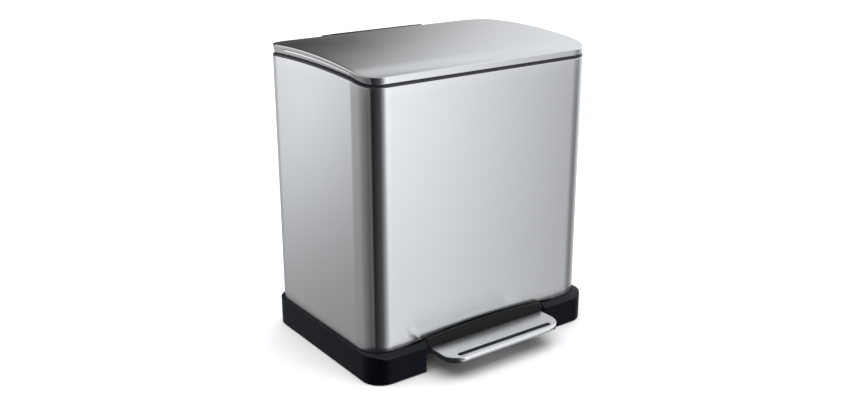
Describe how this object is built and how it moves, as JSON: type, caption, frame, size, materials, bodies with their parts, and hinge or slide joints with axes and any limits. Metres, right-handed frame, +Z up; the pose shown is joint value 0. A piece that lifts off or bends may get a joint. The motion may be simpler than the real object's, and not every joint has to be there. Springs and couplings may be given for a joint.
{
  "type": "pedal bin",
  "caption": "Box-shaped brushed-steel pedal bin with a plastic base, foot pedal, arched hinged lid, push rod, closing damper and lift-out bucket.",
  "frame": {"origin": "middle of the whole bin's footprint, on the floor", "axes": "+Z up, -Y towards the pedal and the user, +X to the right as the user faces the bin"},
  "size_m": [0.3854, 0.343, 0.4261],
  "materials": {
    "body_steel": "fine brushed grain running level round the box, satin, fingerprint-resistant",
    "lid_steel": "fine brushed grain along the lid's width, satin",
    "pedal_steel": "brushed along its width, satin",
    "base_plastic": "black satin moulded plastic with a fine texture",
    "black_trim": "black moulded plastic, satin",
    "pedal_plastic": "black satin moulded plastic",
    "guide_plastic": "natural low-friction plastic",
    "bucket_plastic": "dark grey moulded plastic",
    "foot_rubber": "soft black rubber",
    "grip_rubber": "ribbed black rubber",
    "zinc_steel": "zinc-plated steel",
    "damper_metal": "drawn metal tube"
  },
  "bodies": {
    "body": {"body_shell": "body_steel", "top_rim": "black_trim", "base_skirt": "base_plastic", "bottom_plate": "base_plastic", "base_screws": "zinc_steel", "feet": "foot_rubber", "hinge_bracket": "black_trim", "hinge_pin": "zinc_steel", "hinge_backing_plate": "zinc_steel", "hinge_screws": "zinc_steel", "rear_channel": "black_trim", "rod_guide_upper": "guide_plastic", "rod_guide_lower": "guide_plastic", "damper_cylinder": "damper_metal", "damper_cap": "guide_plastic", "damper_clips": "guide_plastic", "pedal_bracket_left": "zinc_steel", "pedal_bracket_right": "zinc_steel", "bracket_screws": "zinc_steel", "pedal_axle": "zinc_steel", "axle_clips": "zinc_steel", "lever_buffer": "foot_rubber"},
    "lid": {"lid_skin": "lid_steel", "lid_liner": "black_trim", "hinge_barrel": "black_trim", "lid_crank": "zinc_steel", "crank_pin": "zinc_steel", "crank_screws": "zinc_steel", "lid_buffers": "foot_rubber"},
    "push_rod_set": {"push_rod": "zinc_steel", "rod_head": "guide_plastic", "rod_foot": "guide_plastic", "rod_foot_pin": "zinc_steel", "damper_arm": "zinc_steel", "damper_piston": "damper_metal"},
    "pedal": {"pedal_tread": "pedal_steel", "pedal_grip": "grip_rubber", "pedal_carrier": "pedal_plastic", "pedal_frame": "zinc_steel", "pedal_screws": "zinc_steel", "pedal_lever": "zinc_steel", "axle_spacers": "guide_plastic"},
    "bucket": {"inner_bucket": "bucket_plastic"}
  },
  "joints": [
    {"name": "lid_hinge", "type": "hinge", "parent": "body", "child": "lid", "pos_m": [0, 0.161, 0.4092], "axis": [-1, 0, 0], "range_deg": [0, 75]},
    {"name": "push_rod_slide", "type": "slide", "parent": "body", "child": "push_rod_set", "axis": [0, 0, 1], "range_m": [0, 0.03897]},
    {"name": "pedal_pivot", "type": "hinge", "parent": "body", "child": "pedal", "pos_m": [0, -0.0565, 0.03], "axis": [1, 0, 0], "range_deg": [0, 11.78]},
    {"name": "bucket_lift", "type": "slide", "parent": "body", "child": "bucket", "axis": [0, 0, 1], "range_m": [0, 0.01]}
  ],
  "couplings": [
    {"joint": "push_rod_slide", "follows": "lid_hinge", "m_per_rad": 0.029764},
    {"joint": "pedal_pivot", "follows": "lid_hinge", "ratio": 0.15705}
  ]
}
